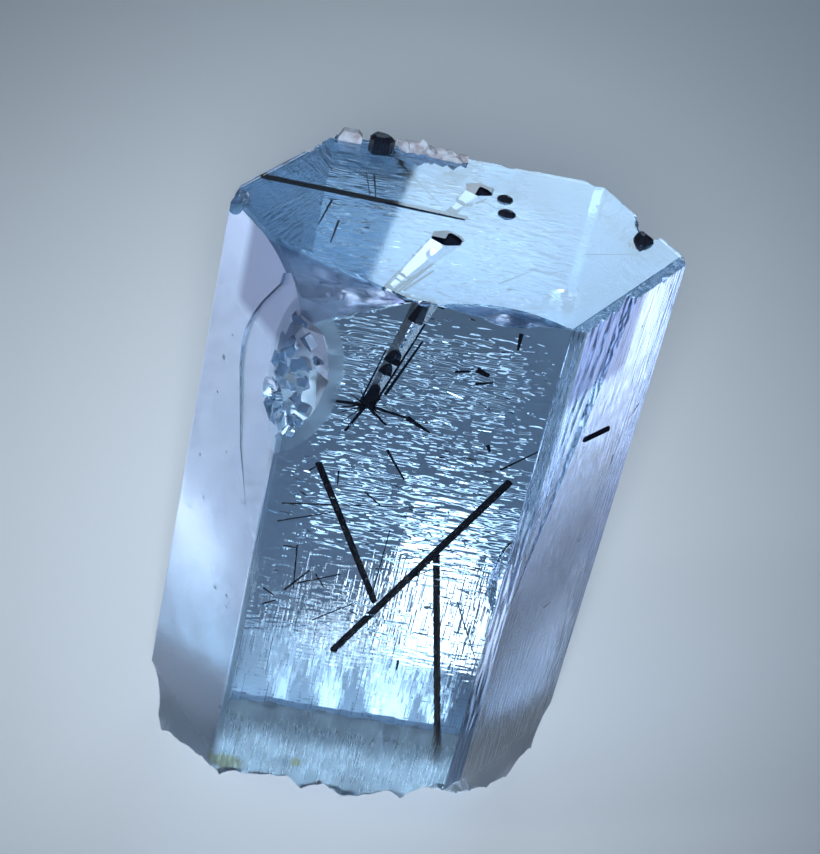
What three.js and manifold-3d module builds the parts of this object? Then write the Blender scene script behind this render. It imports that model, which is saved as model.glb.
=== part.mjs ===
// Aquamarine crystal, in millimetres, +Z along the crystal's c-axis.
// A stubby six-sided beryl prism with a flat termination, standing on its broken base.
// Black schorl (tourmaline) needles are sealed inside it, schorl and albite sit on its rim.
// The prism is parted in a front and a back half, because the needles lie in pockets across that plane.
import * as THREE from "three";
import { ConvexGeometry } from "three/addons/geometries/ConvexGeometry.js";
import { mergeVertices } from "three/addons/utils/BufferGeometryUtils.js";
import Module from "manifold-3d";

const wasm = await Module();
wasm.setup();

// Driving dimensions of the prism. Each upright face is a plane: the bearing of its outward normal, in degrees
// from +X towards +Y, and its distance from the axis. Six are the prism's own, and three narrow ones dull edges.
const HEIGHT = 37;
const WIDTH = 26;
const DEPTH = 18.3;
const FRONT = { bearing: 270, offset: DEPTH / 2 };
const RIGHT_FRONT = { bearing: 327, offset: 10.57 };
const RIGHT_EDGE = { bearing: 0, offset: WIDTH / 2 };
const RIGHT_BACK = { bearing: 30, offset: 12.0 };
const BACK_EDGE = { bearing: 60, offset: 12.0 };
const BACK = { bearing: 90, offset: DEPTH / 2 };
const LEFT_BACK = { bearing: 150, offset: 11.12 };
const LEFT_EDGE = { bearing: 180, offset: WIDTH / 2 };
const LEFT_FRONT = { bearing: 210, offset: 11.86 };
const PRISM_FACES = [
  FRONT,
  RIGHT_FRONT,
  RIGHT_EDGE,
  RIGHT_BACK,
  BACK_EDGE,
  BACK,
  LEFT_BACK,
  LEFT_EDGE,
  LEFT_FRONT,
];

// Where the prism is parted, and the clearance kept around every piece that is set into it.
const PARTING_Y = -2.65;
const SEAT_GAP = 0.25;

// Tapering grooves that fan up the right front face from its front edge. Each has a long slope and a steep
// wall: the height of its tip on that edge, where it starts and ends at the termination, as distance from that
// edge, and how deep it gets there.
const FAN_GROOVES = [
  { tip: 22, from: 0.3, to: 0.9, depth: 0.14 },
  { tip: 21.5, from: 1.1, to: 2.0, depth: 0.2 },
  { tip: 21, from: 2.2, to: 3.3, depth: 0.24 },
  { tip: 18, from: 3.6, to: 5.8, depth: 0.55 },
];

// A growth layer that stops short on the left front face: its outline from the front edge, as distance along
// the face and height, and the depth of the step.
const LEDGE_DEPTH = 0.2;
const LEDGE_OUTLINE = [
  [2.4, 35.5],
  [4.0, 33.4],
  [5.1, 31.3],
  [5.3, 29.7],
  [4.6, 27.2],
  [3.4, 24],
  [1.5, 21],
];

// Shell-shaped chips: centre and radii, those of the front left edge first, then the rim of the termination,
// and the base.
const CHIPS = [
  { centre: [-9.15, -11.35, 31.2], radii: [3.75, 3.75, 5.45] },
  { centre: [-9.8, -8.0, 29.0], radii: [1.15, 1.15, 1.1] },
  { centre: [2.2, -10.2, 37.6], radii: [5.2, 2.7, 0.95] },
  { centre: [2.4, -9.95, 37.4], radii: [2.2, 1.6, 1.1] },
  { centre: [-13.4, -1.3, 37.2], radii: [1.5, 1.7, 1.2] },
  { centre: [11.15, 4.45, 37.5], radii: [0.9, 1.6, 1.5] },
  { centre: [3.9, 9.85, 37.4], radii: [1.4, 1.0, 0.9] },
  { centre: [13.3, 1.2, 1.4], radii: [1.7, 1.9, 2.6] },
  { centre: [-13.2, -1.0, 1.0], radii: [2.4, 2.2, 2.6] },
  { centre: [8.2, 9.45, 13.0], radii: [1.3, 1.2, 3.2] },
];
const CHIP_DETAIL = 2;

// The front edge of the termination is worn round towards the left: the rounding starts with a small radius at
// its tip and widens by a share of the distance to its end. `proud` keeps its ends just clear of the faces.
const WORN_EDGE = { tip: -2.5, end: -14.5, radius: 0.05, widening: 0.6, proud: 0.02, along: 8, around: 6 };

// The broken base: flat where it rests, climbing to a ragged lip along the front. Rises lower than `settle` are
// ground flat, so that the crystal stands on a wide even face.
const BASE = {
  settle: 0.15,
  restEdge: -4.4,
  lip: 2.25,
  cornerLip: 1.9,
  cornerReach: 2.6,
  ripple: 0.75,
  rippleLength: 3.1,
  rippleSlant: 0.35,
  rimRise: 1.05,
  rimReach: 1.6,
  backRimShare: 0.3,
  backRimFrom: 7.2,
  backRimTo: 8.4,
  cell: 0.9,
};

// Black schorl needles: the ends of each and its radius.
const NEEDLES = [
  { name: "schorl_needle_diagonal", from: [5.28, -4.07, 24.93], to: [-2.29, -1.07, 9.54], radius: 0.25 },
  { name: "schorl_needle_upright", from: [2.38, -1.67, 18.2], to: [5.51, -3.87, 3.46], radius: 0.22 },
  { name: "schorl_needle_oblique", from: [-5.65, -4.47, 24.13], to: [-0.43, -0.17, 13.34], radius: 0.21 },
  { name: "schorl_needle_top", from: [-11.6, 2.45, 36.2], to: [0.5, 2.69, 35.0], radius: 0.27 },
  { name: "schorl_needle_side", from: [8.73, -5.97, 28.36], to: [10.53, -3.19, 27.71], radius: 0.17 },
];

// Two thick schorl rods that break through the termination. The first ends in a spray of needles.
const ROD_RADIUS = 0.55;
const ROD = { name: "schorl_rod_with_spray", from: [-3.6, -2.57, 27.8], to: [-0.9, -1.47, HEIGHT] };
const SECOND_ROD = { name: "schorl_rod_short", from: [-0.5, 4.55, 32.2], to: [1.0, 5.25, HEIGHT] };
const SPRAY_RADIUS = 0.2;
const SPRAY_TIPS = [
  [0.27, -2.67, 26.74],
  [-5.66, -2.75, 27.75],
  [-4.5, -3.25, 26.1],
  [-2.2, -1.45, 26.3],
  [-3.0, -4.15, 28.9],
];

// Short schorl crystals on the rim, and the two grains in pits on the termination.
const RIM_CRYSTALS = [
  { name: "schorl_back_crystal", from: [-4.95, 8.2, 36.4], to: [-4.95, 8.35, 37.85], radius: 0.8 },
  { name: "schorl_right_crystal", from: [10.1, 2.3, 36.0], to: [10.85, 2.75, 37.35], radius: 0.62 },
];
const GRAINS = [
  { name: "schorl_grain_back", at: [2.55, 4.57, 37.0], radii: [0.5, 0.34, 0.3] },
  { name: "schorl_grain_front", at: [2.6, 2.75, 37.0], radii: [0.55, 0.38, 0.3] },
];

// Pale albite on the back rim: a thin plate and a row of blocky grains, in a shelf cut along the edge.
const SHELF = { depth: 0.8, inset: 1.1 };
const ALBITE_PLATE = { left: -7.45, right: -6.05, thickness: 0.55, top: 37.65, chamfer: 0.25 };
const ALBITE_ROW = {
  left: -3.75,
  right: 0.4,
  tallest: 38.15,
  lowest: 37.35,
  stagger: 0.25,
  count: 7,
  thickness: 0.75,
  overlap: 1.35,
  twist: 0.35,
  lean: 0.16,
};

const AQUAMARINE = new THREE.MeshStandardMaterial({ color: 0xa9cfe6, roughness: 0.08, metalness: 0 });
const SCHORL = new THREE.MeshStandardMaterial({ color: 0x0b0d14, roughness: 0.3, metalness: 0 });
const ALBITE = new THREE.MeshStandardMaterial({ color: 0xe4dfe2, roughness: 0.45, metalness: 0 });

// A closed geometry as a solid that can be joined and cut.
function solidOf(geometry) {
  const bare = geometry.clone();
  bare.deleteAttribute("normal");
  bare.deleteAttribute("uv");
  const merged = mergeVertices(bare, 1e-5);
  return new wasm.Manifold(
    new wasm.Mesh({
      numProp: 3,
      vertProperties: new Float32Array(merged.attributes.position.array),
      triVerts: new Uint32Array(merged.index.array),
    }),
  );
}

// A solid as a flat-shaded geometry.
function geometryOf(solid) {
  const mesh = solid.getMesh();
  const indexed = new THREE.BufferGeometry();
  indexed.setAttribute("position", new THREE.BufferAttribute(mesh.vertProperties, mesh.numProp));
  indexed.setIndex(new THREE.BufferAttribute(mesh.triVerts, 1));
  const flat = indexed.toNonIndexed();
  flat.computeVertexNormals();
  return flat;
}

function namedMesh(name, geometry, material) {
  const mesh = new THREE.Mesh(geometry, material);
  mesh.name = name;
  return mesh;
}

function direction(bearing) {
  const turn = THREE.MathUtils.degToRad(bearing);
  return new THREE.Vector3(Math.cos(turn), Math.sin(turn), 0);
}

// The upright edge where two prism faces meet, as a point on the ground.
function edgeBetween(a, b) {
  const [na, nb] = [direction(a.bearing), direction(b.bearing)];
  const det = na.x * nb.y - na.y * nb.x;
  return new THREE.Vector2(
    (a.offset * nb.y - b.offset * na.y) / det,
    (b.offset * na.x - a.offset * nb.x) / det,
  );
}

// Everything beyond a plane, near the crystal, as a cutter.
function beyondPlane(normal, point) {
  const reach = 3 * HEIGHT;
  const block = new THREE.BoxGeometry(reach, reach, reach).translate(0, 0, reach / 2);
  const turn = new THREE.Quaternion().setFromUnitVectors(new THREE.Vector3(0, 0, 1), normal);
  return solidOf(block.applyQuaternion(turn).translate(point.x, point.y, point.z));
}

// The plain prism, running below the base so that the break can be cut out of it.
function prism() {
  const below = 3;
  const corners = PRISM_FACES.map((face, i) => edgeBetween(face, PRISM_FACES[(i + 1) % PRISM_FACES.length]));
  const column = new THREE.ExtrudeGeometry(new THREE.Shape(corners), {
    depth: HEIGHT + below,
    bevelEnabled: false,
  });
  return solidOf(column.translate(0, 0, -below));
}

// One groove of the fan, as a sliver with its tip on the edge, running out above the termination.
function grooveCutter({ tip, from, to, depth }) {
  const edge = edgeBetween(FRONT, RIGHT_FRONT);
  const outward = direction(RIGHT_FRONT.bearing);
  const along = new THREE.Vector3(0, 0, 1).cross(outward);
  const start = new THREE.Vector3(edge.x, edge.y, tip);
  const wall = 0.12 * (to - from);
  const overrun = 1.1;
  const spoke = (distance, sunk) =>
    new THREE.Vector3(0, 0, HEIGHT - tip)
      .addScaledVector(along, distance)
      .addScaledVector(outward, -sunk)
      .multiplyScalar(overrun)
      .add(start);
  const proud = -0.3;
  const points = [
    start,
    spoke(from, 0),
    spoke(to - wall, depth),
    spoke(to, 0),
    spoke(to, proud),
    spoke(from, proud),
  ];
  return solidOf(new ConvexGeometry(points));
}

// A cutter that lies on a prism face: an outline in distance along the face and height, sunk to a depth.
function faceCutter(face, start, outline, depth) {
  const outside = 1;
  const along = new THREE.Vector3(0, 0, 1).cross(direction(face.bearing));
  const basis = new THREE.Matrix4().makeBasis(along, new THREE.Vector3(0, 0, 1), direction(face.bearing));
  const base = direction(face.bearing).multiplyScalar(face.offset - depth);
  const slab = new THREE.ExtrudeGeometry(outline, {
    depth: depth + outside,
    bevelEnabled: false,
    curveSegments: 8,
  });
  const startAlong = start.x * along.x + start.y * along.y;
  return solidOf(slab.translate(startAlong, 0, 0).applyMatrix4(basis).translate(base.x, base.y, base.z));
}

// The recessed growth layer beside the chipped edge of the left front face.
function ledgeCutter() {
  const outline = new THREE.Shape();
  outline.moveTo(1, LEDGE_OUTLINE.at(-1)[1] - 2);
  outline.lineTo(1, HEIGHT + 1);
  outline.lineTo(-LEDGE_OUTLINE[0][0], LEDGE_OUTLINE[0][1] + 0.6);
  outline.splineThru(LEDGE_OUTLINE.map(([along, height]) => new THREE.Vector2(-along, height)));
  return faceCutter(LEFT_FRONT, edgeBetween(LEFT_FRONT, FRONT), outline, LEDGE_DEPTH);
}

// What is worn off the front edge of the termination: a block bent round a cone that touches both faces.
function wornEdgeCutter() {
  const { tip, end, radius, widening, proud, along, around } = WORN_EDGE;
  const outside = 3;
  const block = new THREE.BoxGeometry(1, 1, 1, along, around, 1);
  const points = block.attributes.position;
  for (let i = 0; i < points.count; i++) {
    const x = THREE.MathUtils.lerp(end, tip, points.getX(i) + 0.5);
    const round = radius + widening * (tip - x);
    const turn = ((points.getY(i) + 0.5) * Math.PI) / 2;
    const away = points.getZ(i) > 0 ? outside : proud;
    const y = round * (1 - Math.cos(turn)) - FRONT.offset - away;
    points.setXYZ(i, x, y, HEIGHT - round * (1 - Math.sin(turn)) + away);
  }
  return solidOf(block);
}

function ellipsoid([x, y, z], [rx, ry, rz], detail) {
  return solidOf(new THREE.IcosahedronGeometry(1, detail).scale(rx, ry, rz).translate(x, y, z));
}

// Height of the broken base at a point: zero where it rests, a ragged lip in front, lower chips round the rim.
function breakHeight(x, y) {
  const front = THREE.MathUtils.smoothstep(BASE.restEdge - y, 0, FRONT.offset + BASE.restEdge);
  const corner = edgeBetween(FRONT, RIGHT_FRONT);
  const nearCorner = Math.exp(-((x - corner.x) ** 2 + (y - corner.y) ** 2) / BASE.cornerReach ** 2);
  const wave = Math.abs(Math.sin((Math.PI * (x + BASE.rippleSlant * y)) / BASE.rippleLength));
  const here = new THREE.Vector3(x, y, 0);
  const rimDistance = Math.min(...PRISM_FACES.map((f) => f.offset - direction(f.bearing).dot(here)));
  const nearBack = THREE.MathUtils.smoothstep(y, BASE.backRimFrom, BASE.backRimTo);
  const rimRise = BASE.rimRise * THREE.MathUtils.lerp(1, BASE.backRimShare, nearBack);
  const rim = rimRise * THREE.MathUtils.smoothstep(BASE.rimReach - rimDistance, 0, BASE.rimReach) * wave;
  const lip = BASE.lip * front + BASE.cornerLip * nearCorner + BASE.ripple * front * wave;
  return Math.max(0, lip + rim * (1 - front) - BASE.settle);
}

// Everything below the break, as a block whose top follows it.
function baseCutter() {
  const [spanX, spanY, thickness] = [30, 22, 8];
  const block = new THREE.BoxGeometry(
    spanX,
    spanY,
    thickness,
    Math.round(spanX / BASE.cell),
    Math.round(spanY / BASE.cell),
    1,
  );
  const points = block.attributes.position;
  for (let i = 0; i < points.count; i++) {
    const onTop = points.getZ(i) > 0;
    points.setZ(i, onTop ? breakHeight(points.getX(i), points.getY(i)) : -thickness);
  }
  return solidOf(block);
}

// Schorl's own section is a three-sided prism with bulging sides.
function schorlSection(radius) {
  const bulge = 1.12;
  const outline = new THREE.Shape();
  const at = (turn, r) => [r * Math.cos((turn * Math.PI) / 3), r * Math.sin((turn * Math.PI) / 3)];
  outline.moveTo(...at(0, radius));
  for (const side of [1, 3, 5]) outline.quadraticCurveTo(...at(side, bulge * radius), ...at(side + 1, radius));
  return outline;
}

// A schorl prism along +Z, with its ends bevelled, and `extra` added all round.
function schorlPrism(radius, length, extra = 0) {
  const bevel = 0.3 * radius;
  const shaft = new THREE.ExtrudeGeometry(schorlSection(radius + extra - bevel), {
    depth: length + 2 * extra - 2 * bevel,
    curveSegments: 3,
    bevelThickness: bevel,
    bevelSize: bevel,
    bevelSegments: 1,
  });
  return shaft.translate(0, 0, bevel - extra);
}

// Places a schorl prism so that it runs between two points.
function alongLine(from, to) {
  const [start, end] = [new THREE.Vector3(...from), new THREE.Vector3(...to)];
  const turn = new THREE.Quaternion().setFromUnitVectors(
    new THREE.Vector3(0, 0, 1),
    end.clone().sub(start).normalize(),
  );
  return { start, turn, length: start.distanceTo(end) };
}

function schorlSolid({ from, to, radius }, extra = 0) {
  const { start, turn, length } = alongLine(from, to);
  return solidOf(
    schorlPrism(radius, length, extra).applyQuaternion(turn).translate(start.x, start.y, start.z),
  );
}

// A needle or rim crystal as a mesh, set in place by its position and rotation.
function schorlMesh(crystal) {
  const { start, turn, length } = alongLine(crystal.from, crystal.to);
  const mesh = namedMesh(crystal.name, schorlPrism(crystal.radius, length), SCHORL);
  mesh.position.copy(start);
  mesh.quaternion.copy(turn);
  return mesh;
}

// The thick rod and the needles that spray from its lower end, as one solid.
function rodWithSpray(extra = 0) {
  const rod = schorlSolid({ ...ROD, radius: ROD_RADIUS }, extra);
  return SPRAY_TIPS.reduce(
    (joined, tip) => joined.add(schorlSolid({ from: ROD.from, to: tip, radius: SPRAY_RADIUS }, extra)),
    rod,
  );
}

function grainSolid({ at, radii }, extra = 0) {
  return ellipsoid(at, radii.map((r) => r + extra), 1);
}

function box(low, high) {
  const size = high.map((h, i) => h - low[i]);
  return solidOf(new THREE.BoxGeometry(...size).translate(...low.map((l, i) => l + size[i] / 2)));
}

// The shelf along the back rim that carries the albite.
function shelfCutter({ left, right }) {
  return box(
    [left - SEAT_GAP, BACK.offset - SHELF.inset, HEIGHT - SHELF.depth],
    [right + SEAT_GAP, BACK.offset + 1, HEIGHT + 1],
  );
}

function albitePlate() {
  const { left, right, thickness, top, chamfer } = ALBITE_PLATE;
  const back = BACK.offset - SEAT_GAP;
  const floor = HEIGHT - SHELF.depth + SEAT_GAP;
  const outline = new THREE.Shape();
  outline.moveTo(left, floor);
  outline.lineTo(right, floor);
  outline.lineTo(right, top - chamfer);
  outline.lineTo(right - chamfer, top);
  outline.lineTo(left + chamfer, top);
  outline.lineTo(left, top - 2 * chamfer);
  const plate = new THREE.ExtrudeGeometry(outline, { depth: thickness, bevelEnabled: false });
  return plate.rotateX(Math.PI / 2).translate(0, back, 0);
}

// A row of blocky albite grains, each turned a little, grown together.
function albiteGrains() {
  const { left, right, tallest, lowest, stagger, count, thickness, overlap, twist, lean } = ALBITE_ROW;
  const floor = HEIGHT - SHELF.depth + SEAT_GAP;
  const pitch = (right - left) / count;
  const centreY = BACK.offset - SHELF.inset + SEAT_GAP + thickness / 2;
  const row = Array.from({ length: count }, (_, i) => {
    const share = i / (count - 1);
    const top = THREE.MathUtils.lerp(tallest, lowest, share) - (i % 2 ? stagger : 0);
    const grain = new THREE.BoxGeometry(overlap * pitch, thickness, top - floor);
    grain.rotateZ(twist * Math.sin(5 * i + 1)).rotateY(lean * Math.cos(4 * i));
    return solidOf(grain.translate(left + (i + 0.5) * pitch, centreY, (top + floor) / 2));
  });
  const joined = row.reduce((a, b) => a.add(b));
  return joined.intersect(box([left, 0, floor], [right, BACK.offset, tallest + 1]));
}

// The prism with its grooves, ledge, worn edge, chips and break, and a pocket for every piece set into it.
function crystalBody() {
  const chips = CHIPS.map((c) => ellipsoid(c.centre, c.radii, CHIP_DETAIL));
  const pockets = [
    ...NEEDLES.map((n) => schorlSolid(n, SEAT_GAP)),
    ...RIM_CRYSTALS.map((c) => schorlSolid(c, SEAT_GAP)),
    ...GRAINS.map((g) => grainSolid(g, SEAT_GAP)),
    rodWithSpray(SEAT_GAP),
    schorlSolid({ ...SECOND_ROD, radius: ROD_RADIUS }, SEAT_GAP),
    shelfCutter(ALBITE_PLATE),
    shelfCutter(ALBITE_ROW),
  ];
  const grooves = FAN_GROOVES.map(grooveCutter);
  const cutters = [ledgeCutter(), wornEdgeCutter(), baseCutter(), ...grooves, ...chips, ...pockets];
  return cutters.reduce((left, cutter) => left.subtract(cutter), prism());
}

const crystal = new THREE.Group();
const body = crystalBody();
const halfGap = SEAT_GAP / 2;
const towardsBack = new THREE.Vector3(0, 1, 0);
const frontHalf = body.subtract(beyondPlane(towardsBack, new THREE.Vector3(0, PARTING_Y - halfGap, 0)));
const backHalf = body.subtract(
  beyondPlane(towardsBack.clone().negate(), new THREE.Vector3(0, PARTING_Y + halfGap, 0)),
);
crystal.add(namedMesh("crystal_front", geometryOf(frontHalf), AQUAMARINE));
crystal.add(namedMesh("crystal_back", geometryOf(backHalf), AQUAMARINE));
for (const piece of [...NEEDLES, ...RIM_CRYSTALS]) crystal.add(schorlMesh(piece));
crystal.add(schorlMesh({ ...SECOND_ROD, radius: ROD_RADIUS }));
crystal.add(namedMesh(ROD.name, geometryOf(rodWithSpray()), SCHORL));
for (const grain of GRAINS) crystal.add(namedMesh(grain.name, geometryOf(grainSolid(grain)), SCHORL));
crystal.add(namedMesh("albite_plate", albitePlate(), ALBITE));
crystal.add(namedMesh("albite_grains", geometryOf(albiteGrains()), ALBITE));

export default crystal;
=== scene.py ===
# %% [markdown]
# # An aquamarine crystal with black schorl needles
#
# The object is a natural crystal: a stubby six-sided prism of pale blue beryl, flat on top and broken
# off below. Black tourmaline needles grew inside it, and a few dark and pale grains sit on its rim.
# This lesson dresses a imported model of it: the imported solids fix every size, and here they get their
# surfaces.

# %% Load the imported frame
import math
import random

import bpy
from mathutils import Matrix, Vector, noise


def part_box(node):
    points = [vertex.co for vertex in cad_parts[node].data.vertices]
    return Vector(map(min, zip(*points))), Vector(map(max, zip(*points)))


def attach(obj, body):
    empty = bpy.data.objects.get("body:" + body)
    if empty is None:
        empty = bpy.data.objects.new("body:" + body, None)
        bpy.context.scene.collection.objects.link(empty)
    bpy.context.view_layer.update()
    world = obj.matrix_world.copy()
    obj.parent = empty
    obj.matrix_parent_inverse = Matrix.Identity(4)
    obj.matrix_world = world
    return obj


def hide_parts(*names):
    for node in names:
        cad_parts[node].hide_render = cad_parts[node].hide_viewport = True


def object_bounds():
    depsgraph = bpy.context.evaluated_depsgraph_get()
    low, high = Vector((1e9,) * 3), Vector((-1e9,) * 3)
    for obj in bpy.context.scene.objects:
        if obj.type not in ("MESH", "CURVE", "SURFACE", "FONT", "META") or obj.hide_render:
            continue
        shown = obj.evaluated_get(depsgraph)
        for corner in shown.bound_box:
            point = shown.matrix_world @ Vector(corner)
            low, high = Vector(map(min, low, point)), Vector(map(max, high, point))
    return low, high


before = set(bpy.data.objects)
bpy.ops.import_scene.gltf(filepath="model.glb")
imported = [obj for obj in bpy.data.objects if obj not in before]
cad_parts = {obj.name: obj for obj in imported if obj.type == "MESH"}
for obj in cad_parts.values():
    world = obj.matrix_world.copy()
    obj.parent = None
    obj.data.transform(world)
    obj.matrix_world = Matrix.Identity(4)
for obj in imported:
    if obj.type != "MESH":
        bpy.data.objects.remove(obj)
CAD_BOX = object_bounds()
MM = 0.001
print("nodes:", sorted(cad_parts))
print("box in mm:", [[round(c / MM, 2) for c in corner] for corner in CAD_BOX])

# %% [markdown]
# ## The camera
#
# The camera stands about 14 cm from the crystal and looks down on it. It is also rolled,
# so that the upright crystal leans in the picture. A long lens keeps the edges nearly parallel.

# %% Place the camera
CAMERA_AT = Vector((-12.62, -106.10, 91.19)) * MM
CAMERA_BEARING = math.radians(6.63)
CAMERA_DIP = math.radians(32.40)
CAMERA_ROLL = math.radians(13.47)
CAMERA_LENS = 89.68
CAMERA_CLIP = (0.005, 20)


def place_camera():
    data = bpy.data.cameras.new("camera")
    data.lens = CAMERA_LENS
    data.clip_start, data.clip_end = CAMERA_CLIP
    camera = bpy.data.objects.new("camera", data)
    bpy.context.scene.collection.objects.link(camera)
    turn = Matrix.Rotation(-CAMERA_BEARING, 4, "Z")
    tip = Matrix.Rotation(math.pi / 2 - CAMERA_DIP, 4, "X")
    roll = Matrix.Rotation(CAMERA_ROLL, 4, "Z")
    camera.matrix_world = Matrix.Translation(CAMERA_AT) @ turn @ tip @ roll
    bpy.context.scene.camera = camera
    return camera


camera = place_camera()
print("camera at", [round(c, 3) for c in camera.location])

# %% [markdown]
# ## Working in millimetres
#
# Blender's tools merge and cut with tolerances made for objects of about a metre. A crystal of 37 mm
# is close to those, so each new piece is modelled with one unit for a millimetre, and is shrunk to
# metres when it is finished. These helpers do what is done by mouse in the viewport: pick one object,
# enter edit mode, apply.


# %% Write helpers for modelling
def deselect():
    bpy.ops.object.select_all(action="DESELECT")


def pick(piece):
    deselect()
    piece.select_set(True)
    bpy.context.view_layer.objects.active = piece


def added(name):
    piece = bpy.context.object
    piece.name = name
    piece.data.name = name
    return piece


def apply_place(piece):
    pick(piece)
    bpy.ops.object.transform_apply(location=True, rotation=True, scale=True)


def apply_modifier(piece, modifier):
    pick(piece)
    bpy.ops.object.modifier_apply(modifier=modifier.name)


def cut_away(body, cutter, overlapping=False):
    modifier = body.modifiers.new("cut", "BOOLEAN")
    modifier.operation = "DIFFERENCE"
    modifier.solver = "EXACT"
    modifier.use_self = overlapping
    modifier.object = cutter
    apply_modifier(body, modifier)
    bpy.data.objects.remove(cutter)


def joined(pieces, name):
    deselect()
    for piece in pieces:
        piece.select_set(True)
    bpy.context.view_layer.objects.active = pieces[0]
    bpy.ops.object.join()
    return added(name)


def to_metres(piece):
    piece.scale = (MM, MM, MM)
    apply_place(piece)
    return piece


def edit_all(piece):
    pick(piece)
    bpy.ops.object.mode_set(mode="EDIT")
    bpy.ops.mesh.select_all(action="SELECT")


def leave_edit():
    bpy.ops.object.mode_set(mode="OBJECT")


def turn_normals(piece, inside=False):
    edit_all(piece)
    bpy.ops.mesh.normals_make_consistent(inside=inside)
    leave_edit()


def close_up(piece, smooth_angle):
    turn_normals(piece)
    bpy.ops.object.shade_smooth_by_angle(angle=math.radians(smooth_angle))


def thicken(sheet, way):
    edit_all(sheet)
    bpy.ops.mesh.extrude_region_move(TRANSFORM_OT_translate={"value": way})
    leave_edit()
    turn_normals(sheet)
    return sheet


def between(start, end):
    start, end = Vector(start), Vector(end)
    turn = (end - start).to_track_quat("Z", "Y").to_euler()
    return (start + end) / 2, turn, (end - start).length


# %% [markdown]
# ## The clear prism
#
# Beryl grows as a six-sided prism. Its faces aren't quite even, and three of its edges are dulled by a
# narrow extra face. A block cut by one plane for each face gives exactly that: flat faces that meet in
# crisp edges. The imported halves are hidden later, and this one clear piece stands for both, because
# light has to pass through the crystal without meeting the parting.

# %% Cut the prism out of a block
BOX_LOW, BOX_HIGH = (corner / MM for corner in CAD_BOX)
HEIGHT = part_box("crystal_back")[1].z / MM
WIDTH = BOX_HIGH.x - BOX_LOW.x
DEPTH = BOX_HIGH.y - BOX_LOW.y
FACES = {
    "front": (270, DEPTH / 2),
    "right_front": (327, 10.57),
    "right_edge": (0, WIDTH / 2),
    "right_back": (30, 12.0),
    "back_edge": (60, 12.0),
    "back": (90, DEPTH / 2),
    "left_back": (150, 11.12),
    "left_edge": (180, WIDTH / 2),
    "left_front": (210, 11.86),
}
BELOW = 3
EDGE_WIDTH = 0.07
MERGE_DISTANCE = 0.0001


def outward(face):
    turn = math.radians(FACES[face][0])
    return Vector((math.cos(turn), math.sin(turn), 0))


def along(face):
    return Vector((0, 0, 1)).cross(outward(face))


def corner_between(face_a, face_b):
    a, b = outward(face_a), outward(face_b)
    da, db = FACES[face_a][1], FACES[face_b][1]
    det = a.x * b.y - a.y * b.x
    return Vector(((da * b.y - db * a.y) / det, (db * a.x - da * b.x) / det, 0))


def prism_block():
    deselect()
    middle = (HEIGHT - BELOW) / 2
    bpy.ops.mesh.primitive_cube_add(size=1, location=(0, 0, middle))
    block = added("aquamarine_body")
    bpy.ops.transform.resize(value=(2 * WIDTH, 2 * DEPTH, HEIGHT + BELOW))
    apply_place(block)
    bpy.ops.object.mode_set(mode="EDIT")
    for face in FACES:
        bpy.ops.mesh.select_all(action="SELECT")
        bpy.ops.mesh.bisect(
            plane_co=outward(face) * FACES[face][1],
            plane_no=outward(face),
            use_fill=True,
            clear_outer=True,
            threshold=MERGE_DISTANCE,
        )
    bpy.ops.mesh.select_all(action="SELECT")
    bpy.ops.mesh.bevel(offset=EDGE_WIDTH, segments=2, affect="EDGES")
    leave_edit()
    return block


crystal = prism_block()
print("prism with bevelled edges:", len(crystal.data.polygons), "faces")

# %% [markdown]
# ## Growth grooves and a ledge
#
# Grooves fan up the right front face from a point on its front edge, each with a long slope and a
# steep wall. On the left front face a growth layer stops short, which leaves a low curved ledge. Both
# are shaved with simple cutters, whose corners are set in the plane of the face.

# %% Cut the fan of grooves
# Each groove: height of its tip, near and far edge at the top, depth.
GROOVES = (
    (22, 0.3, 0.9, 0.14),
    (21.5, 1.1, 2.0, 0.2),
    (21, 2.2, 3.3, 0.24),
    (18, 3.6, 5.8, 0.55),
)
STEEP_WALL = 0.12
GROOVE_PROUD = 0.3
OVERSHOOT = 1.1


def groove_cutter(tip, start, end, depth):
    edge = corner_between("front", "right_front") + Vector((0, 0, tip))
    side, out = along("right_front"), outward("right_front")
    rise = Vector((0, 0, HEIGHT - tip))
    deepest = end - STEEP_WALL * (end - start)
    spokes = ((start, -GROOVE_PROUD), (end, -GROOVE_PROUD), (start, 0), (deepest, depth))
    deselect()
    bpy.ops.mesh.primitive_cube_add(size=2)
    sliver = added("groove_cutter")
    for vertex in sliver.data.vertices:
        corner = (1 if vertex.co.x > 0 else 0) + (2 if vertex.co.y > 0 else 0)
        distance, sunk = spokes[corner]
        reach = (rise + side * distance - out * sunk) * OVERSHOOT
        vertex.co = edge + (reach if vertex.co.z > 0 else Vector((0, 0, 0)))
    edit_all(sliver)
    bpy.ops.mesh.remove_doubles(threshold=MERGE_DISTANCE)
    leave_edit()
    turn_normals(sliver)
    return sliver


for groove in GROOVES:
    cut_away(crystal, groove_cutter(*groove))
print("grooved:", len(crystal.data.polygons), "faces")

# %% Shave the ledge
LEDGE_DEPTH = 0.2
LEDGE_FOOT, LEDGE_RISE = 21, 10
# Corners of the ledge: distance from the front edge, and height.
LEDGE = (
    (-1, 19),
    (-1, 38),
    (2.4, 36.1),
    (2.5, 35.4),
    (4.0, 33.4),
    (4.7, 32.2),
    (5.2, 30.9),
    (5.3, 29.7),
    (5.1, 28.5),
    (4.6, 27.2),
    (3.4, 24),
    (1.5, 21),
)


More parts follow.
